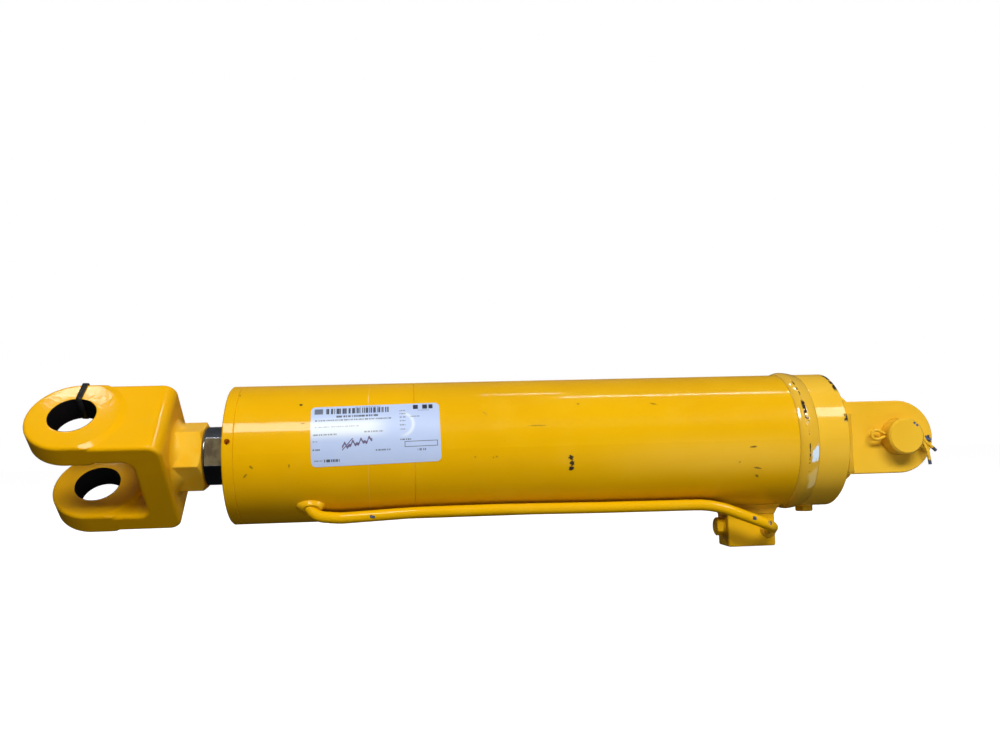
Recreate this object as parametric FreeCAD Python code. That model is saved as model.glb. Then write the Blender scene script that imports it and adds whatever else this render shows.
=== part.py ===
import FreeCAD, Part
import math
import os

# Double-acting welded hydraulic cylinder with a clevis at each end, drawn fully retracted.
# Frame: +X runs along the cylinder axis from the base pin towards the rod clevis, +Y runs along
# the base pin and +Z is up. The origin is the centre of the base pin. Units are millimetres.

V = FreeCAD.Vector
INCH = 25.4
AXIS_X = V(1, 0, 0)
AXIS_Y = V(0, 1, 0)
AXIS_Z = V(0, 0, 1)
ORIGIN = V(0, 0, 0)

# Barrel, four inch bore
BARREL_R = 4.75 * INCH / 2
BORE_R = 4.0 * INCH / 2
TUBE_START = 93.0
SLEEVE_START = 424.0
SLEEVE_END = 572.0
GLAND_FACE = 581.4
SEAM_CHAMFER = 0.45

# Base cap, its girth weld and its bleed plug
CAP_REAR = 47.6
CAP_RIM = 75.5
WELD_BEVEL = 8.0
CAP_SPIGOT_END = 100.0
CAP_SPIGOT_R = BORE_R - 0.1
WELD_CREST = 86.0
WELD_CROWN = 2.2
BLEED_X = 67.5
BLEED_SEAT = 59.7
BLEED_HEAD = 5.8

# Rod, piston and stroke
ROD_R = 2.0 * INCH / 2
STROKE = 14.0 * INCH
TENON_R = 1.5 * INCH / 2
TENON_START = 101.4
PISTON_START = 121.0
LAND_START = 126.0
LAND_END = 150.0
PISTON_END = 162.0
PISTON_R = BORE_R - 0.35
PISTON_NOSE_R = 44.0
NUT_FLATS = 2.25 * INCH
ROD_END = 605.0
ROD_THREAD_R = 22.2
ROD_THREAD_END = 641.0
FLAT_START = 584.4
FLAT_END = 603.0
FLAT_WIDTH = 1.75 * INCH
FLAT_ANGLE = 8.5

# Running and slip fits, radial
BAND_GAP = 0.05
SEAL_GAP = 0.04
SLIP = 0.05
BARE_GAP = 0.35

# Rod gland, screwed into the head sleeve
GLAND_INNER = 520.0
GLAND_LAND_END = 545.0
THREAD_START = 548.0
THREAD_END = 569.0
THREAD_PITCH = 3.0
THREAD_ROOT_R = 52.2
THREAD_CREST_R = 53.8
SPANNER_R = 2.35
SPANNER_X = 576.7
SPANNER_ANGLE = 10.3
SPANNER_COUNT = 4

# Base clevis, pin and cotter pins
PLATE_HALF = 2.5 * INCH / 2
PLATE_OUTER = 50.8
PLATE_INNER = PLATE_OUTER - 0.75 * INCH
PIN_R = 1.25 * INCH / 2
PIN_HALF = 66.5
PIN_CHAMFER = 1.7
PIN_FIT = 0.08
COTTER_Y = 58.0
COTTER_TILT = 5.0
COTTER_WIRE_R = 1.4
COTTER_HOLE_R = 3.0

# Rod clevis, turned about the cylinder axis
CLEVIS_TURN = 42.9
CLEVIS_X = 706.5
CLEVIS_BACK = 629.5
CLEVIS_THROAT = 655.0
EAR_OUTER = 4.25 * INCH / 2
EAR_INNER = 2.5 * INCH / 2
PAD = 2.0
EAR_HALF = 38.1
PAD_TOP_R = 37.4
PAD_FOOT_R = 43.0
EDGE_ROUND = 3.0
FORK_LAP = 5.0
CLEVIS_BORE_R = 1.5 * INCH / 2
SHANK_CORNER_R = 30.7
SHANK_BLEND_R = 10.0
SHANK_START = 605.0

# Port block and transfer tube
BLOCK_X0 = 101.4
BLOCK_X1 = 145.0
BLOCK_HALF = 1.125 * INCH / 2
BLOCK_BOTTOM = -94.5
PORT_R = 4.95
PORT_DEPTH = 11.5
PORT_FLARE_R = 7.2
GALLERY_R = 3.0
PLUG_FLATS = 9.0 / 16 * INCH
PLUG_Z = -76.8
BASE_PORT_X = 120.0
BOTTOM_PORT_X = 132.0
BACK_PORT_X = 110.5
BACK_PORT_Z = -80.0
TUBE_R = 0.375 * INCH / 2
TUBE_BORE_R = TUBE_R - 0.049 * INCH
TUBE_RUN_R = 68.6
HEAD_PORT_X = 516.0
HEAD_PORT_ANGLE = -45.5
HEAD_SEAT_R = 56.6

# Label
LABEL_LENGTH = 107.0
LABEL_HEIGHT = 51.4
LABEL_X = 455.7
LABEL_ANGLE = 14.7
LABEL_TILT = 1.15
LABEL_THICK = 0.2


def polar(x, radius, angle):
    """Point at a station x, a radius from the cylinder axis and an angle from +Y towards +Z."""
    a = math.radians(angle)
    return V(x, radius * math.cos(a), radius * math.sin(a))


def revolve(points):
    """Solid of revolution about the cylinder axis from a closed outline of (x, radius) pairs."""
    outline = [V(x, r, 0) for x, r in points]
    face = Part.Face(Part.makePolygon(outline + outline[:1]))
    return face.revolve(ORIGIN, AXIS_X, 360)


def ring(x0, x1, r_out, r_in, edge=0.0):
    """Ring on the cylinder axis with both outer corners broken by a small chamfer."""
    return revolve([(x0, r_in), (x1, r_in), (x1, r_out - edge), (x1 - edge, r_out),
                    (x0 + edge, r_out), (x0, r_out - edge)])


def rod(start, end, radius):
    """Cylinder between two points."""
    line = end - start
    return Part.makeCylinder(radius, line.Length, start, line)


def box(x0, x1, y0, y1, z0, z1):
    """Box between two opposite corners."""
    return Part.makeBox(x1 - x0, y1 - y0, z1 - z0, V(x0, y0, z0))


def on_axis(shape, origin, axis):
    """Move a shape drawn along +Z from the origin so that it starts at a point along an axis."""
    shape = shape.copy()
    turn = FreeCAD.Rotation(AXIS_Z, axis)
    shape.Placement = FreeCAD.Placement(origin, turn)
    return shape


def hexagon(across_flats, height, corner=0.0):
    """Hexagonal prism along +Z with its outer corners broken at both ends."""
    radius = across_flats / math.sqrt(3)
    points = []
    for i in range(7):
        a = math.radians(60 * i + corner)
        points.append(V(radius * math.cos(a), radius * math.sin(a), 0))
    prism = Part.Face(Part.makePolygon(points)).extrude(V(0, 0, height))
    drop = 0.5 * (radius - across_flats / 2) + 0.3
    low = Part.makeCone(radius - drop * 1.7, radius, drop)
    mid = Part.makeCylinder(radius, height - 2 * drop, V(0, 0, drop))
    top = Part.makeCone(radius, radius - drop * 1.7, drop, V(0, 0, height - drop))
    return prism.common(low.fuse([mid, top]))


def bent_path(points, radii):
    """Wire through straight runs joined by tangent arcs, one radius for each inner corner."""
    edges = []
    start = points[0]
    for i in range(1, len(points) - 1):
        corner = points[i]
        back = (points[i - 1] - corner).normalize()
        ahead = (points[i + 1] - corner).normalize()
        half = back.getAngle(ahead) / 2
        reach = radii[i - 1] / math.tan(half)
        middle = (back + ahead).normalize()
        centre = corner + middle * (radii[i - 1] / math.sin(half))
        first = corner + back * reach
        last = corner + ahead * reach
        if (first - start).Length > 1e-4:
            edges.append(Part.makeLine(start, first))
        edges.append(Part.Arc(first, centre - middle * radii[i - 1], last).toShape())
        start = last
    if (points[-1] - start).Length > 1e-4:
        edges.append(Part.makeLine(start, points[-1]))
    return Part.Wire(edges)


def pipe(path, start, direction, radius):
    """Round bar swept along a wire."""
    circle = Part.Wire(Part.makeCircle(radius, start, direction))
    return path.makePipeShell([circle], True, False)


def bead(start, along, side_a, side_b, leg, length):
    """Fillet weld with a slightly crowned face between two walls that meet at a right angle."""
    a = start + side_a * leg
    b = start + side_b * leg
    crown = start + (side_a + side_b) * (leg * 0.56)
    edges = [Part.makeLine(start, a), Part.Arc(a, crown, b).toShape(), Part.makeLine(b, start)]
    return Part.Face(Part.Wire(edges)).extrude(along * length)


def thread_outline(x0, x1, root, crest):
    """Saw of (x, radius) pairs that stands for a thread between two stations."""
    points = []
    turns = int((x1 - x0) / THREAD_PITCH)
    for i in range(turns):
        x = x0 + i * THREAD_PITCH
        points.append((x, root))
        points.append((x + 0.30 * THREAD_PITCH, root))
        points.append((x + 0.50 * THREAD_PITCH, crest))
        points.append((x + 0.80 * THREAD_PITCH, crest))
    points.append((x0 + turns * THREAD_PITCH, root))
    return points


def barrel_tube():
    """Main tube: bevelled for the girth weld, drilled for the base port."""
    tube = revolve([(TUBE_START, BARREL_R), (TUBE_START - WELD_BEVEL, BORE_R), (SLEEVE_START, BORE_R),
                    (SLEEVE_START, BARREL_R - SEAM_CHAMFER), (SLEEVE_START - SEAM_CHAMFER, BARREL_R)])
    port = rod(V(BASE_PORT_X, 0, -40), V(BASE_PORT_X, 0, -70), GALLERY_R)
    return tube.cut(port)


def head_seat():
    """Seat of the transfer tube in the head sleeve and the direction in which the tube leaves it."""
    seat = tube_points()[0]
    return seat, (tube_points()[1] - seat).normalize()


def head_sleeve():
    """Front sleeve: continues the bore, threaded inside for the gland, drilled for the head port."""
    thread = thread_outline(THREAD_START, THREAD_END, THREAD_ROOT_R + 0.1, THREAD_CREST_R + 0.1)
    inner = [(SLEEVE_START, BORE_R), (GLAND_LAND_END, BORE_R), (THREAD_START - 1.5, THREAD_ROOT_R + 0.1)]
    relief = [(THREAD_END, THREAD_CREST_R + 0.1), (SLEEVE_END, THREAD_CREST_R + 0.1)]
    outer = [(SLEEVE_END, BARREL_R - 0.4), (SLEEVE_END - 0.4, BARREL_R),
             (SLEEVE_START + SEAM_CHAMFER, BARREL_R), (SLEEVE_START, BARREL_R - SEAM_CHAMFER)]
    sleeve = revolve(inner + thread + relief + outer)
    seat, lean = head_seat()
    hole = rod(polar(HEAD_PORT_X, 40, HEAD_PORT_ANGLE), seat, GALLERY_R)
    socket = rod(seat - lean * 0.1, seat + lean * 12, TUBE_R + SLIP)
    return sleeve.cut(hole.fuse(socket))


def rod_gland():
    """Screwed gland: thread, two inner grooves, wiper seat, outer groove and spanner holes."""
    thread = thread_outline(THREAD_START, THREAD_END, THREAD_ROOT_R, THREAD_CREST_R)
    outer = [(GLAND_INNER, 49.2), (GLAND_INNER + 1.5, BORE_R - SLIP), (530.0, BORE_R - SLIP),
             (530.0, 47.9), (537.0, 47.9), (537.0, BORE_R - SLIP), (GLAND_LAND_END + 0.2, BORE_R - SLIP)]
    flange = [(THREAD_END, THREAD_ROOT_R), (SLEEVE_END, THREAD_ROOT_R), (SLEEVE_END, BARREL_R - 0.4),
              (SLEEVE_END + 0.4, BARREL_R), (GLAND_FACE - 1.0, BARREL_R), (GLAND_FACE, BARREL_R - 1.0)]
    bare = ROD_R + BARE_GAP
    bore = [(GLAND_FACE, 31.0), (574.4, 31.0), (574.4, bare), (548.6, bare), (548.6, 31.0), (540.0, 31.0),
            (540.0, bare), (534.0, bare), (534.0, 27.9), (524.0, 27.9), (524.0, bare), (GLAND_INNER, bare)]
    gland = revolve(outer + thread + flange[1:] + bore)
    for i in range(SPANNER_COUNT):
        angle = SPANNER_ANGLE + i * 360 / SPANNER_COUNT
        start = polar(SPANNER_X, BARREL_R - 8, angle)
        end = polar(SPANNER_X, BARREL_R + 5, angle)
        gland = gland.cut(rod(start, end, SPANNER_R))
    return gland


def split_band(x0, x1, r_out, r_in, gap):
    """Wear band with a scarf-cut gap."""
    band = ring(x0, x1, r_out, r_in)
    cutter = box(x0 - 4, x1 + 4, 0, r_out + 5, -gap / 2, gap / 2)
    cutter.rotate(V((x0 + x1) / 2, r_out, 0), AXIS_Y, 35)
    return band.cut(cutter)


def rod_seal():
    """U-cup seal, open towards the pressure side."""
    lip = ROD_R + SEAL_GAP
    return revolve([(540.3, 27.0), (540.3, lip), (542.5, lip), (548.3, lip + 0.15), (548.3, 30.8),
                    (542.5, 30.95), (540.3, 30.95), (540.3, 29.4), (543.8, 28.2)])


def rod_wiper():
    """Wiper with its lip standing proud of the gland face."""
    lip = ROD_R + SEAL_GAP
    return revolve([(574.6, 26.6), (576.5, 26.3), (579.0, lip), (583.4, lip), (583.4, 26.6), (580.9, 27.9),
                    (580.9, 30.9), (574.6, 30.9)])


def base_cap():
    """End cap with its spigot, weld bevel, bleed drilling and bleed plug seat."""
    cap = revolve([(CAP_REAR, 0), (CAP_REAR, BARREL_R - 1.3), (CAP_REAR + 1.3, BARREL_R),
                   (CAP_RIM, BARREL_R), (CAP_RIM + WELD_BEVEL, CAP_SPIGOT_R),
                   (CAP_SPIGOT_END - 1, CAP_SPIGOT_R), (CAP_SPIGOT_END, CAP_SPIGOT_R - 1),
                   (CAP_SPIGOT_END, 0)])
    seat = rod(V(BLEED_X, 0, -BLEED_SEAT), V(BLEED_X, 0, -75), 9.2)
    shank = rod(V(BLEED_X, 0, -44), V(BLEED_X, 0, -75), PORT_R)
    drill = rod(V(BLEED_X, 0, -36), V(BLEED_X, 0, -50), 1.6)
    gallery = rod(V(BLEED_X - 1, 0, -38), V(CAP_SPIGOT_END + 5, 0, -38), 1.6)
    return cap.cut(seat.fuse([shank, drill, gallery]))


def base_cap_weld():
    """Girth weld filling the bevels: a long flank towards the cap and a steep one towards the tube."""
    left = V(CAP_RIM, BARREL_R, 0)
    crest = V(WELD_CREST, BARREL_R + WELD_CROWN, 0)
    right = V(TUBE_START, BARREL_R, 0)
    long_flank = (left + crest) * 0.5 + AXIS_Y * 0.35
    steep_flank = (crest + right) * 0.5 + AXIS_Y * 0.75
    root_b = V(TUBE_START - WELD_BEVEL, BORE_R, 0)
    root_a = V(CAP_RIM + WELD_BEVEL, CAP_SPIGOT_R, 0)
    root_c = V(TUBE_START - WELD_BEVEL, CAP_SPIGOT_R, 0)
    edges = [Part.Arc(left, long_flank, crest).toShape(), Part.Arc(crest, steep_flank, right).toShape(),
             Part.makeLine(right, root_b), Part.makeLine(root_b, root_c), Part.makeLine(root_c, root_a),
             Part.makeLine(root_a, left)]
    return Part.Face(Part.Wire(edges)).revolve(ORIGIN, AXIS_X, 360)


def base_ear():
    """Clevis plate on the +Y side: straight sides and a full round end about the pin."""
    slab = box(0, CAP_REAR, PLATE_INNER, PLATE_OUTER, -PLATE_HALF, PLATE_HALF)
    nose = rod(V(0, PLATE_INNER, 0), V(0, PLATE_OUTER, 0), PLATE_HALF)
    plate = slab.fuse(nose).removeSplitter()
    rims = []
    for edge in plate.Edges:
        spread = edge.BoundBox
        if spread.YLength < 1e-6 and spread.XMax < CAP_REAR + 1e-3 and spread.XLength > 1:
            rims.append(edge)
    plate = plate.makeChamfer(0.8, rims)
    return plate.cut(rod(V(0, 0, 0), V(0, 60, 0), PIN_R + PIN_FIT))


def base_ear_welds():
    """Fillet welds of both plates on the cap: inner sides, outer sides and plate ends."""
    root = V(CAP_REAR, 0, 0)
    back = V(-1, 0, 0)
    within = rod(ORIGIN, root, BARREL_R - 0.8)
    beads = []
    for side in (1, -1):
        outward = V(0, side, 0)
        inner = root + outward * PLATE_INNER - AXIS_Z * PLATE_HALF
        beads.append(bead(inner, AXIS_Z, back, outward * -1, 6.0, 2 * PLATE_HALF))
        outer = root + outward * PLATE_OUTER - AXIS_Z * 30
        beads.append(bead(outer, AXIS_Z, back, outward, 6.0, 51).common(within))
        for up in (1, -1):
            end = root + outward * PLATE_INNER + AXIS_Z * (up * PLATE_HALF)
            beads.append(bead(end, outward, back, AXIS_Z * up, 4.6, 14.5))
    return beads[0].fuse(beads[1:])


def cotter_frame(shape, side):
    """Place a shape drawn about the pin centre on one end of the pin."""
    shape = shape.copy()
    shape.rotate(ORIGIN, AXIS_Y, -COTTER_TILT)
    shape.translate(V(0, side * COTTER_Y, 0))
    return shape


def base_pin():
    """Pin with chamfered ends and a cross hole near each end."""
    pin = rod(V(0, -PIN_HALF, 0), V(0, PIN_HALF, 0), PIN_R)
    rims = [edge for edge in pin.Edges if edge.BoundBox.YLength < 1e-6]
    pin = pin.makeChamfer(PIN_CHAMFER, rims)
    hole = rod(V(-25, 0, 0), V(25, 0, 0), COTTER_HOLE_R)
    return pin.cut(cotter_frame(hole, 1).fuse(cotter_frame(hole, -1)))


def cotter_pin(side):
    """Cotter pin: one wire from the long lower leg, round the eye and out along the upper leg."""
    gap = COTTER_WIRE_R + 0.02
    eye = 3.9
    neck, swell, tip = 16.5, 21.5, 27.5
    points = [V(-26.0, 0, -22.8), V(-23.8, 0, -12.0), V(-17.6, 0, -gap), V(neck, 0, -gap), V(swell, 0, -eye),
              V(tip, 0, -eye), V(tip, 0, eye), V(swell, 0, eye), V(neck, 0, gap), V(-18.4, 0, gap),
              V(-21.5, 0, -3.2), V(-31.0, 0, -10.4)]
    radii = [8.0, 3.0, 6.0, 5.0, 3.7, 3.7, 5.0, 6.0, 2.0, 6.0]
    path = bent_path(points, radii)
    wire = pipe(path, points[0], points[1] - points[0], COTTER_WIRE_R)
    return cotter_frame(wire, side)


def block_body():
    """Port block outline with broken edges, before drilling."""
    body = box(BLOCK_X0, BLOCK_X1, -BLOCK_HALF, BLOCK_HALF, BLOCK_BOTTOM, -50)
    edges = []
    for edge in body.Edges:
        upright = edge.BoundBox.ZLength > 1
        low = edge.BoundBox.ZMax < BLOCK_BOTTOM + 1e-3
        if upright or low:
            edges.append(edge)
    body = body.makeFillet(1.8, edges)
    barrel = rod(V(0, 0, 0), V(300, 0, 0), BARREL_R)
    return body.cut(barrel)


def tube_points():
    """Corners of the transfer tube, from the head port to the face of the port block."""
    return [polar(HEAD_PORT_X, HEAD_SEAT_R, HEAD_PORT_ANGLE), polar(508, TUBE_RUN_R + 0.4, -50.0),
            polar(488, TUBE_RUN_R + 0.4, -53.4), polar(425, TUBE_RUN_R, -50.0), polar(353, TUBE_RUN_R, -49.8),
            polar(266, TUBE_RUN_R, -51.5), polar(165.7, TUBE_RUN_R, -52.5), V(112.0, 42.0, -75.5),
            V(108.2, 11.6, -79.9)]


def tube_solid(radius):
    """Transfer tube as a full bar of a given radius."""
    points = tube_points()
    radii = [14, 40, 300, 400, 400, 90, 15]
    path = bent_path(points, radii)
    return pipe(path, points[0], points[1] - points[0], radius)


def port_block():
    """Port block: two open ports, a plugged cross drilling and a socket for the transfer tube."""
    body = block_body()
    bottom = V(BOTTOM_PORT_X, 0, BLOCK_BOTTOM)
    back = V(BACK_PORT_X, -BLOCK_HALF, BACK_PORT_Z)
    face = V(BLOCK_X1, 0, PLUG_Z)
    last = tube_points()[-1]
    entry = (tube_points()[-2] - last).normalize()
    cutters = [rod(face, face - AXIS_X * (BLOCK_X1 - BASE_PORT_X + GALLERY_R), GALLERY_R),
               rod(V(BASE_PORT_X, 0, PLUG_Z), V(BASE_PORT_X, 0, -50), GALLERY_R),
               rod(bottom, V(BOTTOM_PORT_X, 0, PLUG_Z), GALLERY_R),
               rod(last, last + entry * 12, TUBE_R + SLIP),
               rod(last + entry, V(BACK_PORT_X, -BLOCK_HALF + 4, BACK_PORT_Z), 2.5)]
    for mouth, inward, depth in ((bottom, AXIS_Z, PORT_DEPTH), (back, AXIS_Y, 9.5), (face, AXIS_X * -1, 8.0)):
        cutters.append(rod(mouth - inward, mouth + inward * depth, PORT_R))
        cutters.append(on_axis(Part.makeCone(PORT_FLARE_R, PORT_R, 2.4), mouth, inward))
    return body.cut(cutters[0].fuse(cutters[1:]))


def rounded_rectangle(x0, x1, y0, y1, z, radius):
    """Closed wire of a rectangle with rounded corners in a level plane."""
    corners = [V(x0, y0, z), V(x1, y0, z), V(x1, y1, z), V(x0, y1, z)]
    middle = (corners[0] + corners[1]) * 0.5
    points = [middle] + corners[1:] + corners[:1] + [middle]
    return bent_path(points, [radius] * 4)


def port_block_weld():
    """Weld round the block where it meets the barrel, flared towards the barrel."""
    narrow = rounded_rectangle(BLOCK_X0 - 0.3, BLOCK_X1 + 0.3, -BLOCK_HALF - 0.3, BLOCK_HALF + 0.3, -66, 2)
    middle = rounded_rectangle(BLOCK_X0 - 2.6, BLOCK_X1 + 2.6, -BLOCK_HALF - 1.9, BLOCK_HALF + 1.9, -61.5, 3)
    wide = rounded_rectangle(BLOCK_X0 - 7.5, BLOCK_X1 + 7.5, -BLOCK_HALF - 6.5, BLOCK_HALF + 6.5, -56, 6)
    flare = Part.makeLoft([narrow, middle, wide], True, True)
    barrel = rod(V(0, 0, 0), V(300, 0, 0), BARREL_R)
    core = box(BLOCK_X0, BLOCK_X1, -BLOCK_HALF, BLOCK_HALF, -80, -40)
    return flare.cut(barrel.fuse(core))


def hex_plug(seat, outward, head, depth):
    """Hex-head plug: flanged head, neck and threaded shank, seated at a point on a face."""
    collar = Part.makeCylinder(PLUG_FLATS / 2 + 0.6, 1.4)
    crown = hexagon(PLUG_FLATS, head - 1.2)
    crown.translate(V(0, 0, 1.2))
    shank = Part.makeCylinder(PORT_R - SLIP, depth, V(0, 0, -depth))
    neck = Part.makeCylinder(PORT_R - SLIP - 0.5, 0.1, V(0, 0, -0.1))
    plug = collar.fuse([crown, shank, neck]).removeSplitter()
    return on_axis(plug, seat, outward)


def head_boss():
    """Weld mound, longer along the barrel than across it, that carries the tube on the head sleeve."""
    round_about = V(0, -math.sin(math.radians(HEAD_PORT_ANGLE)), math.cos(math.radians(HEAD_PORT_ANGLE)))
    sections = []
    layers = ((-3.0, -4.2, 13.8, 7.2), (1.8, -4.4, 10.6, 6.6), (4.2, -5.4, 7.6, 5.7))
    for rise, shift, along, across in layers:
        centre = polar(HEAD_PORT_X + shift, BARREL_R + rise, HEAD_PORT_ANGLE - 1.8)
        ellipse = Part.Ellipse(centre + AXIS_X * along, centre + round_about * across, centre)
        sections.append(Part.Wire(ellipse.toShape()))
    mound = Part.makeLoft(sections, True)
    barrel = rod(V(400, 0, 0), V(600, 0, 0), BARREL_R)
    return mound.cut(barrel.fuse(tube_solid(TUBE_R)))


def tube_end_weld():
    """Fillet weld round the transfer tube on the face of the port block."""
    last = tube_points()[-1]
    entry = (tube_points()[-2] - last).normalize()
    mouth = last + entry * ((BLOCK_HALF - last.y) / entry.y)
    cone = Part.makeCone(8.2, 5.2, 6.0)
    cone = on_axis(cone, mouth - entry * 1.6, entry)
    behind = box(80, 160, -20, BLOCK_HALF, -110, -50)
    return cone.cut(behind.fuse(tube_solid(TUBE_R)))


def label_shape():
    """Paper label wrapped on the barrel, its edges slightly out of line with the axis."""
    along = LABEL_LENGTH / 2
    across = LABEL_HEIGHT / 2
    outline = rounded_rectangle(-along, along, -across, across, 0, 4)
    prism = Part.Face(outline).extrude(V(0, 0, 80))
    prism.rotate(ORIGIN, AXIS_Z, LABEL_TILT)
    prism.rotate(ORIGIN, AXIS_X, LABEL_ANGLE - 90)
    prism.translate(V(LABEL_X, 0, 0))
    skin = ring(LABEL_X - 70, LABEL_X + 70, BARREL_R + LABEL_THICK, BARREL_R)
    return skin.common(prism)


def piston():
    """Piston: two wear band grooves, a deep seal groove and a reduced nose at each end."""
    land = [(LAND_START, PISTON_NOSE_R), (LAND_START, PISTON_R - 1), (LAND_START + 1, PISTON_R)]
    grooves = [(127.6, 132.6, 48.3), (134.2, 141.8, 43.05), (143.4, 148.4, 48.3)]
    for x0, x1, bottom in grooves:
        land += [(x0, PISTON_R), (x0, bottom), (x1, bottom), (x1, PISTON_R)]
    land += [(LAND_END - 1, PISTON_R), (LAND_END, PISTON_R - 1), (LAND_END, PISTON_NOSE_R)]
    ends = [(PISTON_END - 2, PISTON_NOSE_R), (PISTON_END, PISTON_NOSE_R - 2), (PISTON_END, TENON_R + SLIP),
            (PISTON_START, TENON_R + SLIP), (PISTON_START, PISTON_NOSE_R - 2),
            (PISTON_START + 2, PISTON_NOSE_R)]
    return revolve(land + ends)


def piston_wear_bands():
    """The two split wear bands of the piston."""
    rear = split_band(127.9, 132.3, BORE_R - BAND_GAP, 48.35, 2.0)
    front = split_band(143.7, 148.1, BORE_R - BAND_GAP, 48.35, 2.0)
    front.rotate(ORIGIN, AXIS_X, 180)
    return Part.makeCompound([rear, front])


def piston_nut():
    """Nut that holds the piston on the rod."""
    nut = on_axis(hexagon(NUT_FLATS, PISTON_START - 101.6), V(101.6, 0, 0), AXIS_X)
    return nut.cut(rod(V(90, 0, 0), V(130, 0, 0), TENON_R + SLIP))


def piston_rod():
    """Rod: piston tenon with an O-ring groove, wrench flats and the clevis thread."""
    bar = revolve([(TENON_START, 0), (TENON_START, TENON_R - 1), (TENON_START + 1, TENON_R), (151, TENON_R),
                   (151, 16.9), (155, 16.9), (155, TENON_R), (PISTON_END, TENON_R), (PISTON_END, ROD_R - 0.5),
                   (PISTON_END + 0.5, ROD_R), (ROD_END - 1, ROD_R), (ROD_END, ROD_R - 1),
                   (ROD_END, ROD_THREAD_R), (ROD_THREAD_END - 1.5, ROD_THREAD_R),
                   (ROD_THREAD_END, ROD_THREAD_R - 1.5), (ROD_THREAD_END, 0)])
    for side in (1, -1):
        slab = box(FLAT_START, FLAT_END, FLAT_WIDTH / 2, 40, -30, 30)
        slab.rotate(ORIGIN, AXIS_X, FLAT_ANGLE + (0 if side > 0 else 180))
        bar = bar.cut(slab)
    return bar


def ear_ends():
    """Both ends of the fork: a raised round pad about the pin, trimmed to the outline of the ear."""
    ends = []
    for sign in (1, -1):
        inner, outer = sorted((sign * EAR_INNER, sign * EAR_OUTER))
        slab = box(CLEVIS_X - 2 * EAR_HALF, CLEVIS_X, inner, outer, -EAR_HALF, EAR_HALF)
        nose = rod(V(CLEVIS_X, inner, 0), V(CLEVIS_X, outer, 0), EAR_HALF)
        outline = slab.fuse(nose).removeSplitter()
        rims = []
        for edge in outline.Edges:
            spread = edge.BoundBox
            if spread.YLength < 1e-6 and spread.XMax > CLEVIS_X - 1:
                rims.append(edge)
        outline = outline.makeFillet(EDGE_ROUND, rims)
        thick = outer - inner
        foot = Part.makeCone(PAD_TOP_R, PAD_FOOT_R, PAD)
        waist = Part.makeCylinder(PAD_FOOT_R, thick - 2 * PAD, V(0, 0, PAD))
        top = Part.makeCone(PAD_FOOT_R, PAD_TOP_R, PAD, V(0, 0, thick - PAD))
        pad = on_axis(foot.fuse([waist, top]), V(CLEVIS_X, inner, 0), AXIS_Y)
        ends.append(pad.common(outline))
    return ends


def shank_blend():
    """Hollow-curved blend from the hexagonal shank out to the back of the yoke."""
    buried = CLEVIS_BACK + 0.5
    flat = SHANK_CORNER_R * math.cos(math.pi / 6)
    centre = V(buried - SHANK_BLEND_R, flat + SHANK_BLEND_R, 0)
    start = centre - AXIS_Y * SHANK_BLEND_R
    middle = centre + V(1, -1, 0).normalize() * SHANK_BLEND_R
    end = centre + AXIS_X * SHANK_BLEND_R
    foot = V(buried, 0, 0)
    axis = V(start.x, 0, 0)
    edges = [Part.Arc(start, middle, end).toShape(), Part.makeLine(end, foot), Part.makeLine(foot, axis),
             Part.makeLine(axis, start)]
    blend = Part.Face(Part.Wire(edges)).revolve(ORIGIN, AXIS_X, 360)
    side = EAR_HALF - EDGE_ROUND / 2
    return blend.common(box(CLEVIS_BACK - 20, CLEVIS_BACK + 2, -60, 60, -side, side))


def clevis_yoke():
    """Forked body: rounded back, round pads about the pin, slot with a filleted throat."""
    outer = EAR_OUTER - PAD
    inner = EAR_INNER + PAD
    reach = CLEVIS_X - FORK_LAP
    top = rounded_rectangle(CLEVIS_BACK, CLEVIS_X + 60, -outer, outer, -EAR_HALF, 11)
    slot = rounded_rectangle(CLEVIS_THROAT, CLEVIS_X + 90, -inner, inner, -EAR_HALF, 9)
    fork = Part.Face(top).cut(Part.Face(slot))
    fork = fork.common(box(CLEVIS_BACK, reach, -60, 60, -60, 60))
    yoke = fork.Faces[0].extrude(V(0, 0, 2 * EAR_HALF))
    rims = [edge for edge in yoke.Edges if edge.BoundBox.ZLength < 1e-6 and edge.BoundBox.XMin < reach - 1]
    yoke = yoke.makeFillet(EDGE_ROUND, rims).fuse(ear_ends())
    return yoke.cut(rod(V(CLEVIS_X, -70, 0), V(CLEVIS_X, 70, 0), CLEVIS_BORE_R))


def rod_clevis():
    """Rod clevis: yoke, hexagonal shank and the threaded socket for the rod."""
    flats = SHANK_CORNER_R * math.sqrt(3)
    length = CLEVIS_BACK + 3 - SHANK_START
    shank = on_axis(hexagon(flats, length, 30), V(SHANK_START, 0, 0), AXIS_X)
    clevis = clevis_yoke().fuse([shank, shank_blend()])
    socket = rod(V(SHANK_START - 5, 0, 0), V(ROD_THREAD_END + 2, 0, 0), ROD_THREAD_R + SLIP)
    clevis = clevis.cut(socket)
    clevis.rotate(ORIGIN, AXIS_X, CLEVIS_TURN)
    return clevis


def torus(x, ring_radius, section_radius):
    """O-ring on the cylinder axis."""
    return Part.makeTorus(ring_radius, section_radius, V(x, 0, 0), AXIS_X)


def transfer_tube():
    """Transfer tube, bored through."""
    return tube_solid(TUBE_R).cut(tube_solid(TUBE_BORE_R))


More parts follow.
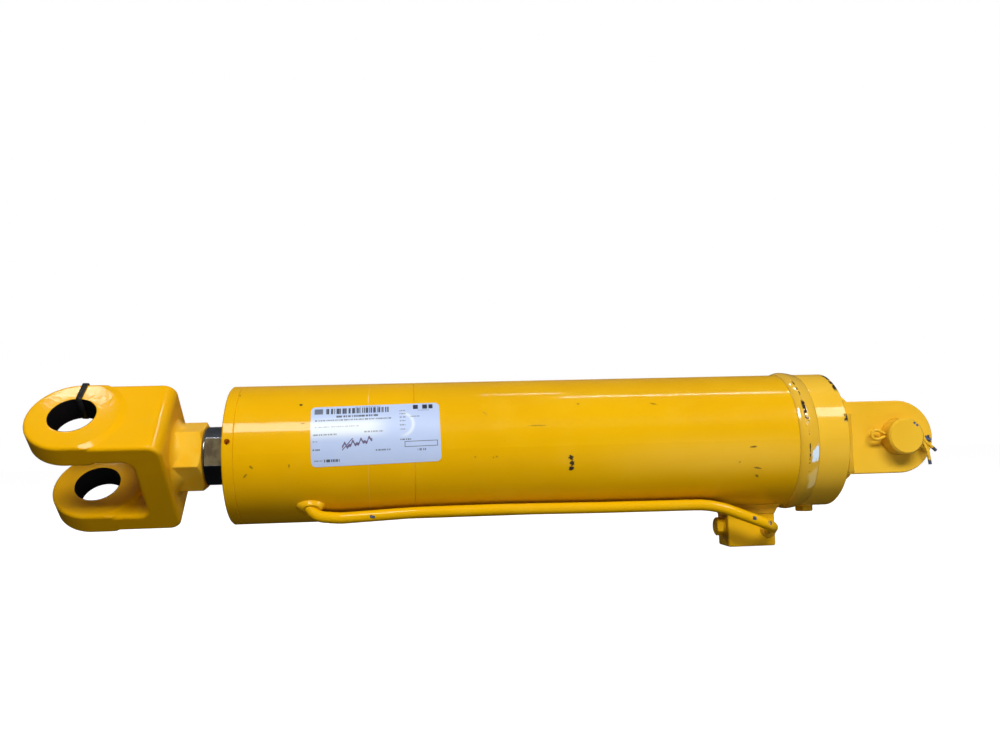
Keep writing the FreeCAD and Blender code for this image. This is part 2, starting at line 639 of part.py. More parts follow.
front_ear = base_ear()
plug_seat = V(BLOCK_X1, 0, PLUG_Z)
parts = {
    "barrel_tube": barrel_tube(),
    "head_sleeve": head_sleeve(),
    "rod_gland": rod_gland(),
    "gland_o_ring": torus(532.0, 49.35, 1.4),
    "gland_backup_ring": ring(534.4, 536.4, BORE_R - SLIP, 47.95),
    "rod_seal": rod_seal(),
    "rod_wiper": rod_wiper(),
    "gland_wear_band": split_band(524.3, 533.7, 27.85, ROD_R + BAND_GAP, 1.5),
    "base_cap": base_cap(),
    "base_cap_weld": base_cap_weld(),
    "base_ear_front": front_ear,
    "base_ear_rear": front_ear.mirror(ORIGIN, AXIS_Y),
    "base_ear_welds": base_ear_welds(),
    "bleed_plug": hex_plug(V(BLEED_X, 0, -BLEED_SEAT), AXIS_Z * -1, BLEED_HEAD, 14),
    "port_block": port_block(),
    "port_block_weld": port_block_weld(),
    "port_plug": hex_plug(plug_seat, AXIS_X, 7.4, 7.4),
    "port_plug_seal": on_axis(Part.makeTorus(5.55, 0.6), plug_seat - AXIS_X * 0.7, AXIS_X),
    "transfer_tube": transfer_tube(),
    "tube_head_boss": head_boss(),
    "tube_end_weld": tube_end_weld(),
    "label": label_shape(),
    "base_pin": base_pin(),
    "cotter_pin_front": cotter_pin(1),
    "cotter_pin_rear": cotter_pin(-1),
    "piston": piston(),
    "piston_seal": ring(134.5, 141.5, BORE_R - BAND_GAP, 48.15),
    "seal_expander": torus(138.0, 45.6, 2.5),
    "piston_wear_bands": piston_wear_bands(),
    "piston_nut": piston_nut(),
    "piston_rod": piston_rod(),
    "rod_o_ring": torus(153.0, 18.0, 1.05),
    "rod_clevis": rod_clevis(),
}

os.makedirs("parts", exist_ok=True)
for name, shape in parts.items():
    shape.exportStep("parts/" + name + ".step")
    print(name, len(shape.Solids), shape.isValid(), round(shape.Volume, 1))
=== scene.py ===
import math

import bmesh
import bpy
from mathutils import Matrix, Vector


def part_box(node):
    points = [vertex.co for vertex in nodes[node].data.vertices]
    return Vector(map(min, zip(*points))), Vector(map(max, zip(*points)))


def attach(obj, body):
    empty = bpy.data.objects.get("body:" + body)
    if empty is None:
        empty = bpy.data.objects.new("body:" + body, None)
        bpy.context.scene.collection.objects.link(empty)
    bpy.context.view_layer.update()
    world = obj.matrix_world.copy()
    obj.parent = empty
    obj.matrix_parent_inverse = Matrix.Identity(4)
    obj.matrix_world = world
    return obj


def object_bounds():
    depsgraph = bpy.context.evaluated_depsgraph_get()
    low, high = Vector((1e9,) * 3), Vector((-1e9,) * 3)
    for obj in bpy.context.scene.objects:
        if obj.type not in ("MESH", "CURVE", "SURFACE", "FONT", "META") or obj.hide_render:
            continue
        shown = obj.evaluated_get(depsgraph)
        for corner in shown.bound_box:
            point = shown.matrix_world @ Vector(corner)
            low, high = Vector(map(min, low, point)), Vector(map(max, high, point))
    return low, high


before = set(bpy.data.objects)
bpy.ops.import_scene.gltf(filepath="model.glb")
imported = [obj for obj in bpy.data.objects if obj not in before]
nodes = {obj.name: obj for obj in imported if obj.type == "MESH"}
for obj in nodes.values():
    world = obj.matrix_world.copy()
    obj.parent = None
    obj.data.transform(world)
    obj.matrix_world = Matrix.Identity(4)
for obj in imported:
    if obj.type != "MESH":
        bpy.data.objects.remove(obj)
cad_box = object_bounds()

# Sizes and places, in metres in the row frame. Angles about the axis run from +Y towards +Z, in degrees.
BARREL_R = 0.060325
ROD_R = 0.0254
CAP_REAR_X = 0.0476
WELD_CROWN_X = 0.0852
RUBBED_X = 0.4624
SHANK_X = 0.628
LABEL_X = 0.4557
LABEL_ANGLE = 14.7
LABEL_TILT = math.radians(1.15)
CLEVIS_X = 0.7065
CLEVIS_TURN = math.radians(42.9)
EAR_INNER = 0.03175
EAR_OUTER = 0.053975
EAR_HALF = 0.0381
BORE_R = 0.01905

# Cable tie: strap, the gap it keeps from the ear, its bends, and its head across, along the pin and up
TIE_GAP = 0.0008
TIE_BEND = 0.0022
TIE_BEND_STEPS = 4
TIE_HALF_WIDTH = 0.0025
TIE_HALF_THICK = 0.0006
TIE_HEAD = (0.0072, 0.0048, 0.0080)
TIE_HEAD_OFF = 0.0030
TIE_HEAD_UP = 0.0320
TIE_LEAN = math.radians(-3)

SMOOTH_ANGLE = math.radians(32)

# Studio: the floor, the even fill, and the room that is only reflected, darker below than above
FLOOR_SIZE = 60.0
FLOOR_GAP = 0.0002
FLOOR_GLOW = 0.975
FILL_LEVEL = 0.055
ROOM_HEIGHTS = (-0.3, 0.6)
ROOM_LEVELS = (0.006, 0.085)

CAMERA_PLACE = (0.417906, 0.820391, -0.006715)
CAMERA_RIGHT = (-0.99596, 0.08512, -0.02838)
CAMERA_FORWARD = (-0.0873, -0.9923, 0.0882)
CAMERA_LENS = 32.716


# ---------------------------------------------------------------- node tools

class Graph:
    """A material's node tree with short calls for the nodes that the recipes use."""

    def __init__(self, name):
        self.material = bpy.data.materials.new(name)
        self.material.use_nodes = True
        self.tree = self.material.node_tree
        self.tree.nodes.clear()
        output = self.tree.nodes.new("ShaderNodeOutputMaterial")
        self.shader = self.tree.nodes.new("ShaderNodeBsdfPrincipled")
        self.link(self.shader.outputs["BSDF"], output.inputs["Surface"])
        self.place = self.tree.nodes.new("ShaderNodeTexCoord").outputs["Object"]
        split = self.tree.nodes.new("ShaderNodeSeparateXYZ")
        self.link(self.place, split.inputs[0])
        self.x, self.y, self.z = split.outputs

    def link(self, source, target):
        self.tree.links.new(source, target)

    def put(self, value, socket):
        """Link a socket or set a constant."""
        if isinstance(value, bpy.types.NodeSocket):
            self.link(value, socket)
        else:
            socket.default_value = value

    def math(self, operation, a, b=0.0):
        node = self.tree.nodes.new("ShaderNodeMath")
        node.operation = operation
        for value, socket in zip((a, b), node.inputs):
            self.put(value, socket)
        return node.outputs[0]

    def add(self, a, b):
        return self.math("ADD", a, b)

    def sub(self, a, b):
        return self.math("SUBTRACT", a, b)

    def mul(self, a, b):
        return self.math("MULTIPLY", a, b)

    def most(self, *values):
        """The largest of several values."""
        result = values[0]
        for value in values[1:]:
            result = self.math("MAXIMUM", result, value)
        return result

    def length(self, a, b):
        """Length of a flat vector."""
        return self.math("SQRT", self.add(self.mul(a, a), self.mul(b, b)))

    def spread(self, noise, size):
        """Noise about zero, in place of zero to one, over a given size."""
        return self.mul(self.sub(noise, 0.5), size)

    def ramp(self, value, low, high, out_low=0.0, out_high=1.0):
        """Smooth step of a value from one range to another."""
        node = self.tree.nodes.new("ShaderNodeMapRange")
        node.interpolation_type = "SMOOTHSTEP"
        for value_in, socket in zip((value, low, high, out_low, out_high), node.inputs):
            self.put(value_in, socket)
        return node.outputs[0]

    def noise(self, scale, detail=3.0, rough=0.55, place=None, stretch=None, offset=(0, 0, 0)):
        node = self.tree.nodes.new("ShaderNodeTexNoise")
        node.inputs["Scale"].default_value = scale
        node.inputs["Detail"].default_value = detail
        node.inputs["Roughness"].default_value = rough
        source = place or self.place
        mapping = self.tree.nodes.new("ShaderNodeMapping")
        mapping.inputs["Location"].default_value = offset
        mapping.inputs["Scale"].default_value = stretch or (1, 1, 1)
        self.link(source, mapping.inputs["Vector"])
        self.link(mapping.outputs[0], node.inputs["Vector"])
        return node.outputs[0]

    def mix(self, factor, a, b):
        """Colour mix."""
        node = self.tree.nodes.new("ShaderNodeMix")
        node.data_type = "RGBA"
        self.put(factor, node.inputs[0])
        self.put(a, node.inputs[6])
        self.put(b, node.inputs[7])
        return node.outputs[2]

    def angle(self):
        """Angle about the cylinder axis in degrees, from +Y towards +Z."""
        return self.mul(self.math("ARCTAN2", self.z, self.y), 180 / math.pi)

    def radius(self):
        """Distance from the cylinder axis."""
        return self.length(self.y, self.z)

    def arc(self, middle):
        """Distance round the barrel from an angle, in metres."""
        return self.mul(self.sub(self.angle(), middle), math.radians(1) * BARREL_R)

    def band(self, value, low, high, soft):
        """One between two values, falling softly to zero outside them."""
        rise = self.ramp(value, low - soft, low + soft)
        fall = self.ramp(value, high - soft, high + soft, 1.0, 0.0)
        return self.mul(rise, fall)

    def bump(self, height, distance, strength=1.0, normal=None):
        node = self.tree.nodes.new("ShaderNodeBump")
        node.inputs["Strength"].default_value = strength
        node.inputs["Distance"].default_value = distance
        self.link(height, node.inputs["Height"])
        if normal is not None:
            self.link(normal, node.inputs["Normal"])
        return node.outputs[0]

    def soft_edges(self, radius):
        """Normal with the solid's sharp edges rounded by a radius, and a mask of its edges."""
        node = self.tree.nodes.new("ShaderNodeBevel")
        node.samples = 6
        node.inputs["Radius"].default_value = radius
        geometry = self.tree.nodes.new("ShaderNodeNewGeometry")
        dot = self.tree.nodes.new("ShaderNodeVectorMath")
        dot.operation = "DOT_PRODUCT"
        self.link(node.outputs[0], dot.inputs[0])
        self.link(geometry.outputs["Normal"], dot.inputs[1])
        return node.outputs[0], self.ramp(dot.outputs["Value"], 0.995, 0.80)

    def finish(self, colour, rough, normal=None, metallic=0.0):
        self.put(colour, self.shader.inputs["Base Color"])
        self.put(rough, self.shader.inputs["Roughness"])
        self.put(metallic, self.shader.inputs["Metallic"])
        if normal is not None:
            self.link(normal, self.shader.inputs["Normal"])
        return self.material


# ---------------------------------------------------------------- materials

PAINT = (0.84, 0.455, 0.0004, 1)
PAINT_DEEP = (0.76, 0.385, 0.0004, 1)
PAINT_PALE = (0.86, 0.50, 0.014, 1)
PAINT_WARM = (0.95, 0.475, 0.0004, 1)
PAINT_SLEEVE = (0.88, 0.462, 0.0004, 1)
PAINT_BLOCK = (0.82, 0.45, 0.006, 1)
# Paler paint with a little blue: dust, and on the base cap, ear plates and pin also a painted sheen in place
# of a broad reflection.
PAINT_DUSTY_SHEEN = (0.90, 0.53, 0.036, 1)
PAINT_RUBBED = (0.98, 0.80, 0.36, 1)
GRIME = (0.16, 0.095, 0.02, 1)
RUST = (0.055, 0.034, 0.018, 1)
BARE_DARK = (0.014, 0.012, 0.015, 1)
BARE_BLUE = (0.10, 0.14, 0.24, 1)
BORE_BLACK = (0.010, 0.010, 0.012, 1)
CHROME = (0.46, 0.48, 0.52, 1)
CHROME_OILY = (0.26, 0.25, 0.24, 1)
CHROME_BRIGHT = (0.66, 0.68, 0.71, 1)
FLATS = (0.20, 0.165, 0.085, 1)
FLATS_OILY = (0.105, 0.080, 0.038, 1)
# Pale steel for the rod's edges: a painted highlight.
STEEL_EDGE_HIGHLIGHT = (0.75, 0.72, 0.62, 1)
INK = (0.012, 0.012, 0.018, 1)
PEN = (0.07, 0.015, 0.09, 1)
PAPER = (0.46, 0.57, 0.84, 1)
PAPER_LIGHT = (0.55, 0.65, 0.88, 1)
PAPER_SHEEN = (0.84, 0.90, 0.93, 1)


def mark(x, angle, length, width, tilt=0.0, strength=1.0):
    """Ragged mark on the barrel at a station and an angle in degrees, with its sizes in metres."""
    def mask(g):
        arc, dx = g.arc(angle), g.sub(g.x, x)
        c, s = math.cos(tilt), math.sin(tilt)
        along = g.math("DIVIDE", g.add(g.mul(dx, c), g.mul(arc, s)), length)
        across = g.math("DIVIDE", g.sub(g.mul(arc, c), g.mul(dx, s)), width)
        ragged = g.add(g.length(along, across), g.spread(g.noise(900, 2), 1.6))
        return g.ramp(ragged, 0.75, 1.05, strength, 0.0)
    return mask


def blob(place, size):
    """Ragged bare spot about a point, in metres."""
    def mask(g):
        node = g.tree.nodes.new("ShaderNodeVectorMath")
        node.operation = "DISTANCE"
        g.link(g.place, node.inputs[0])
        node.inputs[1].default_value = place
        ragged = g.add(g.math("DIVIDE", node.outputs["Value"], size), g.spread(g.noise(500, 3), 1.4))
        return g.ramp(ragged, 0.8, 1.1, 1.0, 0.0)
    return mask


def crown_chips(g):
    """Paint missing in a broken line along the crown of the girth weld."""
    centre = g.add(g.mul(g.angle(), 0.00002), WELD_CROWN_X)
    offset = g.add(g.sub(g.x, centre), g.spread(g.noise(30, 3), 0.0030))
    thin = g.mul(g.band(offset, -0.0005, 0.0005, 0.0004), g.ramp(g.noise(190, 3), 0.50, 0.55))
    wide = g.mul(g.band(offset, -0.0018, 0.0014, 0.0006), g.ramp(g.noise(260, 4), 0.46, 0.52))
    wide = g.mul(wide, g.band(g.angle(), 14.0, 34.0, 4.0))
    return g.mul(g.most(thin, wide), g.band(g.angle(), -30.0, 58.0, 4.0))


def rubbed_ring(g):
    """Faint pale ring where something rubbed round the head sleeve, with one clear tick above the label."""
    line = g.band(g.x, RUBBED_X - 0.0002, RUBBED_X + 0.0002, 0.0003)
    tick = g.band(g.angle(), 43.0, 52.0, 1.5)
    return g.mul(line, g.add(g.mul(tick, 0.55), 0.22))


def barrel_dust(g):
    """Dull dusty stretch on the label side near the base cap."""
    patch = g.mul(g.ramp(g.x, 0.30, 0.16), g.band(g.angle(), -26.0, 2.0, 10.0))
    return g.mul(patch, g.ramp(g.noise(16, 3), 0.25, 0.60, 0.35, 0.75))


def shank_dust(g):
    """Dull dust on the hexagonal shank of the rod clevis."""
    return g.mul(g.ramp(g.x, SHANK_X + 0.004, SHANK_X - 0.004), g.ramp(g.noise(60, 3), 0.30, 0.60, 0.3, 0.9))


def rim_chips(g):
    """Paint knocked off the rear rim of the base cap, high on the label side."""
    wander = g.spread(g.noise(90, 3), 0.0060)
    at_rim = g.ramp(g.add(g.x, wander), CAP_REAR_X + 0.0044, CAP_REAR_X + 0.0034)
    ragged = g.ramp(g.noise(240, 3), 0.34, 0.44)
    outer = g.ramp(g.add(g.radius(), wander), BARREL_R - 0.0060, BARREL_R - 0.0050)
    arc = g.most(g.band(g.angle(), 45.0, 74.0, 3.0), g.band(g.angle(), 14.0, 20.0, 1.5))
    return g.mul(g.mul(g.mul(at_rim, outer), ragged), arc)


def bores(g):
    """The two bores of the rod clevis, about its pin axis."""
    across = g.sub(g.mul(g.z, math.cos(CLEVIS_TURN)), g.mul(g.y, math.sin(CLEVIS_TURN)))
    along = g.sub(g.x, CLEVIS_X)
    return g.ramp(g.length(along, across), BORE_R + 0.0002, BORE_R + 0.0005, 1.0, 0.0)


def yellow_paint(name, edge=0.0006, gloss=0.34, wear=0.5, marks=(), peel=0.00010, base=PAINT, bare=BARE_DARK,
                 unpainted=None, rubbed=None, dusty=None, polish=0.06, coat=0.5, coat_ior=1.5):
    """Glossy industrial yellow over steel: slow colour drift, orange peel, edge wear and marks.

    edge is the radius its sharp edges look rounded by and peel the depth of the orange peel. gloss and polish
    are the roughness of paint and top coat. unpainted, rubbed and dusty are masks of zones, as marks are.
    """
    g = Graph(name)
    blotch = g.noise(38, 4, offset=(0.3, 0.1, 0.7))
    colour = g.mix(g.mul(g.ramp(g.noise(9, 3), 0.35, 0.70), 0.55), base, PAINT_DEEP)
    colour = g.mix(g.mul(g.ramp(blotch, 0.50, 0.75), 0.30), colour, PAINT_PALE)
    speck = g.mul(g.ramp(g.noise(420, 3), 0.70, 0.76), g.ramp(g.noise(26, 2), 0.50, 0.64))
    scratch = g.ramp(g.noise(60, 5, 0.7, stretch=(0.25, 5, 5)), 0.66, 0.72)
    scratch = g.mul(scratch, g.ramp(g.noise(14, 2, offset=(3, 1, 0)), 0.50, 0.66))
    colour = g.mix(g.mul(speck, 0.45), colour, GRIME)
    colour = g.mix(g.mul(scratch, 0.20), colour, PAINT_PALE)
    if dusty:
        colour = g.mix(dusty(g), colour, PAINT_DUSTY_SHEEN)
    if rubbed:
        colour = g.mix(rubbed(g), colour, PAINT_RUBBED)
    normal, edges = g.soft_edges(edge)
    chips = g.mul(edges, g.ramp(g.noise(190, 4), 0.60, 0.66))
    chips = g.mul(chips, g.ramp(g.noise(22, 2, offset=(1, 5, 2)), 0.62 - 0.2 * wear, 0.70 - 0.2 * wear))
    chips = g.most(chips, *[mask(g) for mask in marks])
    bare_tone = g.mix(g.ramp(g.noise(350, 3), 0.40, 0.65), bare, RUST)
    colour = g.mix(chips, colour, bare_tone)
    rough = g.add(gloss, g.mul(g.ramp(blotch, 0.40, 0.70), 0.10))
    rough = g.add(rough, g.mul(g.most(scratch, chips), 0.25))
    if unpainted:
        zone = unpainted(g)
        colour = g.mix(zone, colour, BORE_BLACK)
        chips = g.most(chips, zone)
    height = g.add(g.mul(g.noise(260, 2), 0.4), g.mul(g.noise(70, 2), 0.45))
    normal = g.bump(g.sub(height, g.mul(chips, 2.0)), peel, 1.0, normal)
    material = g.finish(colour, rough, normal)
    g.shader.inputs["Specular IOR Level"].default_value = 0.05
    g.put(g.mul(g.sub(1.0, chips), coat), g.shader.inputs["Coat Weight"])
    g.shader.inputs["Coat IOR"].default_value = coat_ior
    g.put(g.add(polish, g.mul(g.ramp(blotch, 0.45, 0.75), 0.05)), g.shader.inputs["Coat Roughness"])
    g.link(normal, g.shader.inputs["Coat Normal"])
    return material


def steel(name, colour, rough, stretch, stain):
    """Bare steel with machining lines, stains, small colour changes and a painted highlight along its edges.
    """
    g = Graph(name)
    light = tuple(min(1.0, c * 1.25) for c in colour[:3]) + (1,)
    brown = (colour[0] * 0.55, colour[1] * 0.42, colour[2] * 0.28, 1)
    tone = g.mix(g.noise(34, 4), colour, light)
    tone = g.mix(g.mul(g.ramp(g.noise(75, 4, offset=(2, 0, 1)), 0.45, 0.70), stain), tone, brown)
    grain = g.noise(240, 3, 0.6, stretch=stretch)
    surface = g.add(rough, g.spread(grain, 0.22))
    normal, edges = g.soft_edges(0.0004)
    # Painted highlight: the edges are mixed towards the lighter tone.
    tone = g.mix(g.mul(edges, 0.5), tone, light)
    return g.finish(tone, surface, g.bump(grain, 0.00004, 0.8, normal), 1.0)


def rod_steel():
    """Chromed rod with dull, oily, brownish wrench flats; the stroke inside the barrel is bright; its edges
    carry a painted highlight.
    """
    g = Graph("bare_rod")
    gland_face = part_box("rod_gland")[1].x
    stroke = g.ramp(g.x, gland_face - 0.001, gland_face - 0.004)
    flat = g.ramp(g.radius(), ROD_R - 0.0001, ROD_R - 0.0004)
    grain = g.noise(260, 3, 0.6, stretch=(0.3, 6, 6))
    oil = g.ramp(g.noise(120, 4), 0.38, 0.66)
    chrome = g.mix(stroke, g.mix(g.mul(oil, 0.4), CHROME, CHROME_OILY), CHROME_BRIGHT)
    dull = g.mix(oil, FLATS, FLATS_OILY)
    normal, edges = g.soft_edges(0.0006)
    # Painted highlight: the edges are mixed towards a pale steel colour.
    tone = g.mix(g.mul(edges, 0.5), g.mix(flat, chrome, dull), STEEL_EDGE_HIGHLIGHT)
    surface = g.add(g.mul(flat, 0.22), g.add(0.14, g.mul(grain, 0.12)))
    metal = g.mul(g.sub(1.0, g.mul(flat, 0.75)), g.sub(1.0, g.mul(stroke, 0.5)))
    return g.finish(tone, surface, g.bump(grain, 0.00004, 0.8, normal), metal)


def moulded(name, colour, rough, scale=500, depth=0.00005):
    """Moulded rubber or plastic with a fine grain and a dusty bloom."""
    g = Graph(name)
    bloom = tuple(min(1.0, c * 1.8 + 0.02) for c in colour[:3]) + (1,)
    tone = g.mix(g.mul(g.ramp(g.noise(60, 4), 0.40, 0.75), 0.5), colour, bloom)
    surface = g.add(rough, g.mul(g.noise(140, 3), 0.15))
    normal, _ = g.soft_edges(0.0003)
    return g.finish(tone, surface, g.bump(g.noise(scale, 3), depth, 0.7, normal))


class LabelSheet:
    """Flat coordinates on the label, across and up from its middle, and the marks printed on it."""

    def __init__(self, g):
        self.g = g
        arc, dx = g.arc(LABEL_ANGLE), g.sub(LABEL_X, g.x)
        c, s = math.cos(LABEL_TILT), math.sin(LABEL_TILT)
        self.u = g.mul(g.add(g.mul(dx, c), g.mul(arc, s)), 1000)
        self.v = g.mul(g.sub(g.mul(arc, c), g.mul(dx, s)), 1000)
        self.ink = []

    def cell(self, x0, x1, y0, y1, soft=0.10):
        """Rectangle, in millimetres."""
        return self.g.mul(self.g.band(self.u, x0, x1, soft), self.g.band(self.v, y0, y1, soft))

    def column(self, scale, shift, low):
        """Upright bars of uneven width."""
        node = self.g.tree.nodes.new("ShaderNodeCombineXYZ")
        self.g.link(self.g.add(self.u, shift), node.inputs[0])
        return self.g.ramp(self.g.noise(scale, 1, 0.5, place=node.outputs[0]), low, 0.50)

    def block(self, x0, x1, y0, y1, strength, soft):
        """Plain filled rectangle."""
        self.ink.append(self.g.mul(self.cell(x0, x1, y0, y1, soft), strength))

    def row(self, x0, x1, y, height=1.2, strength=0.6, scale=1.1):
        """Row of short uneven dashes in place of a line of print."""
        dashes = self.column(scale, 7.3 * y + x0, 0.44)
        self.ink.append(self.g.mul(self.g.mul(dashes, self.cell(x0, x1, y, y + height)), strength))

    def bars(self, x0, x1, y0, y1, scale, strength=0.9):
        """Upright bars that fill a rectangle."""
        bars = self.column(scale, 3.0, 0.47)
        self.ink.append(self.g.mul(self.g.mul(bars, self.cell(x0, x1, y0, y1)), strength))

    def frame(self, x0, x1, y0, y1, line=0.5):
        """Outline of a rectangle."""
        outer = self.cell(x0, x1, y0, y1)
        inner = self.cell(x0 + line, x1 - line, y0 + line, y1 - line)
        self.ink.append(self.g.mul(self.g.sub(outer, inner), 0.9))


def label_print():
    """Paper label: bars, rows of dashes, plain blocks, an outlined box and a pen stroke, all generic.

    Its pale sweep and arc are a painted reflection: a sheen painted into the colour, not made by a lamp.
    """
    g = Graph("label_paper")
    sheet = LabelSheet(g)
    u, v = sheet.u, sheet.v
    # Painted reflection: a pale sweep and an arc of sheen, painted into the paper's colour.
    sheen = g.mul(g.band(v, -2.0, 12.0, 5.0), g.ramp(u, 16.0, -8.0))
    ring = g.band(g.length(g.sub(u, 21.0), g.sub(v, 6.5)), 9.0, 11.5, 1.2)
    sheen = g.most(sheen, g.mul(ring, g.ramp(u, 18.0, 28.0, 0.0, 0.8)))
    paper = g.mix(g.mul(sheen, 0.85), g.mix(g.noise(30, 3), PAPER, PAPER_LIGHT), PAPER_SHEEN)
    sheet.block(-50.5, -43.5, 18.6, 24.0, 0.75, 0.4)
    sheet.bars(-41, 11, 18.4, 24.0, 0.62)
    sheet.bars(31.5, 48.0, 20.4, 24.9, 0.26, 0.97)
    sheet.row(-17, 4, 24.4, 1.0, 0.5)
    sheet.row(-33, 2, 14.8, 1.9, 0.85, 0.7)
    sheet.row(-50, 13, 11.8, 1.3, 0.75)
    sheet.row(-50, -14, 6.0, 1.0, 0.45)
    sheet.row(-52, -32, -0.8, 1.3, 0.7)
    sheet.row(-10, 6, 0.4, 1.3, 0.6)
    sheet.row(-52, -48, -6.2, 1.0, 0.5)
    sheet.row(-52, -46, -13.2, 1.3, 0.8)
    sheet.row(-1, 12, -15.4, 1.3, 0.7)
    sheet.row(-51, -44, -22.2, 1.1, 0.6)
    sheet.row(-43, -30, -23.0, 2.3, 0.9, 0.75)
    for level in (18.6, 15.6, 12.2, 8.8, 5.0, 1.2):
        sheet.row(20, 25, level, 1.2, 0.6)
    sheet.row(29, 37, 12.6, 1.1, 0.6)
    sheet.row(35, 45, 18.6, 0.8, 0.5)
    sheet.row(20, 29, -7.6, 1.2, 0.8)
    sheet.row(34, 41, -16.8, 1.9, 0.7, 0.7)
    sheet.frame(23.5, 51, -13.4, -8.6)
    colour = g.mix(g.most(*sheet.ink), paper, INK)
    loops = g.add(g.mul(g.math("SINE", g.mul(u, 0.9)), 1.5), g.mul(g.math("SINE", g.mul(u, 1.9)), 0.9))
    line = g.sub(v, g.add(loops, g.add(g.mul(u, 0.20), -5.0)))
    pen = g.mul(g.band(line, -1.25, 1.25, 0.5), sheet.cell(-28, -3, -14, -1.5, 0.3))
    tail = g.sub(v, g.add(g.mul(u, 1.1), 17.0))
    pen = g.most(pen, g.mul(g.band(tail, -0.6, 0.6, 0.3), sheet.cell(-28, -18, -14, -4, 0.3)))
    colour = g.mix(g.mul(pen, 0.85), colour, PEN)
    normal = g.bump(g.noise(55, 3, stretch=(1.6, 0.7, 0.7)), 0.0004, 0.4)
    rough = g.add(0.32, g.mul(g.noise(90, 2), 0.12))
    return g.finish(colour, rough, normal)


barrel_marks = [mark(0.2926, -9.6, 0.0024, 0.0023), mark(0.2919, -14.2, 0.0019, 0.0026),
                mark(0.2927, -18.6, 0.0025, 0.0022), mark(0.3555, -7.1, 0.0012, 0.0008, 0.0, 0.4),
                mark(0.3584, -7.8, 0.0009, 0.0008, 0.0, 0.4), mark(0.3736, -7.0, 0.0009, 0.0009, 0.0, 0.4),
                mark(0.3207, 16.9, 0.0085, 0.0006, 0.0, 0.45), mark(0.2833, 36.2, 0.0013, 0.0009, 0.0, 0.5),
                mark(0.2177, 34.3, 0.0034, 0.0008, 0.3, 0.55), mark(0.3641, 29.2, 0.0028, 0.0005, 0.7, 0.35),
                mark(0.1342, -5.1, 0.0034, 0.0008, -0.1, 0.8), mark(0.1464, -17.5, 0.0012, 0.0010, 0.0, 0.4),
                mark(0.1304, -23.2, 0.0036, 0.0009, 0.2, 0.7), mark(0.1299, -30.6, 0.0020, 0.0011, 0.8, 0.7)]
sleeve_marks = [mark(0.5183, 42.0, 0.0016, 0.0013), mark(0.5157, 23.8, 0.0015, 0.0006, 0.0, 0.5),
                mark(0.5573, -10.2, 0.0022, 0.0009, 0.8, 0.6), mark(0.5625, -16.9, 0.0022, 0.0008, -0.8, 0.6),
                mark(0.5268, -9.9, 0.0008, 0.0016, 0.0, 0.5), mark(0.5710, 56.4, 0.0016, 0.0006, 1.2, 0.5)]
tube_marks = [blob((0.1317, 0.0475, -0.0668), 0.0022), blob((0.1160, 0.0475, -0.0704), 0.0036),
              blob((0.3775, 0.0445, -0.0555), 0.0016), blob((0.4612, 0.0471, -0.0545), 0.0015),
              blob((0.4592, 0.0471, -0.0550), 0.0013)]
small_marks = [blob((-0.0276, 0.0508, -0.0030), 0.0036), blob((-0.0098, 0.0665, 0.0094), 0.0012),
               blob((-0.0074, 0.0665, 0.0112), 0.0011), blob((-0.0305, 0.0580, -0.0136), 0.0048),
               blob((-0.0241, 0.0580, -0.0256), 0.0046)]

paint_barrel = yellow_paint("paint_barrel", wear=0.3, marks=barrel_marks, dusty=barrel_dust)
paint_sleeve = yellow_paint("paint_sleeve", wear=0.3, marks=sleeve_marks, rubbed=rubbed_ring,
                            base=PAINT_SLEEVE)
paint_cap = yellow_paint("paint_cap", wear=0.5, marks=[rim_chips], base=PAINT_DUSTY_SHEEN, polish=0.10)
paint_weld = yellow_paint("paint_weld", edge=0.0016, wear=0.8, marks=[crown_chips], peel=0.0003,
                          base=PAINT_DUSTY_SHEEN, coat=1.0, coat_ior=2.2)
# The ear plates and pin take the paler paint partly as a painted sheen on their flat faces.
paint_small = yellow_paint("paint_small", edge=0.0008, wear=0.6, marks=small_marks, base=PAINT_DUSTY_SHEEN,
                           bare=BARE_BLUE)
paint_bead = yellow_paint("paint_bead", edge=0.0012, gloss=0.28, wear=0.6, peel=0.0006, base=PAINT_DUSTY_SHEEN)
paint_block = yellow_paint("paint_block", edge=0.0008, wear=0.6, base=PAINT_BLOCK)
paint_casting = yellow_paint("paint_casting", edge=0.0020, wear=0.4, peel=0.00016, base=PAINT_WARM,
                             unpainted=bores, dusty=shank_dust, polish=0.045)
paint_tube = yellow_paint("paint_tube", edge=0.0004, wear=0.4, marks=tube_marks, bare=BARE_BLUE)
bare_rod = rod_steel()
bare_steel = steel("bare_steel", (0.42, 0.42, 0.43, 1), 0.32, stretch=(8, 0.6, 0.6), stain=0.2)
rubber = moulded("seal_rubber", (0.018, 0.018, 0.02, 1), 0.55)
plastic = moulded("seal_plastic", (0.05, 0.10, 0.08, 1), 0.42)
nylon = moulded("nylon_black", (0.010, 0.010, 0.012, 1), 0.22, 300, 0.00002)

NODE_MATERIALS = {
    paint_barrel: ["barrel_tube"],
    paint_sleeve: ["head_sleeve", "rod_gland"],
    paint_cap: ["base_cap"],
    paint_weld: ["base_cap_weld"],
    paint_small: ["base_ear_front", "base_ear_rear", "base_pin", "cotter_pin_front", "cotter_pin_rear"],
    paint_bead: ["base_ear_welds", "port_block_weld", "tube_end_weld"],
    paint_block: ["bleed_plug", "port_block", "port_plug", "tube_head_boss"],
    paint_casting: ["rod_clevis"],
    paint_tube: ["transfer_tube"],
    bare_rod: ["piston_rod"],
    bare_steel: ["piston", "piston_nut"],
    rubber: ["gland_o_ring", "rod_seal", "rod_wiper", "port_plug_seal", "seal_expander", "rod_o_ring"],
    plastic: ["gland_backup_ring", "gland_wear_band", "piston_seal", "piston_wear_bands"],
    label_print(): ["label"],
}

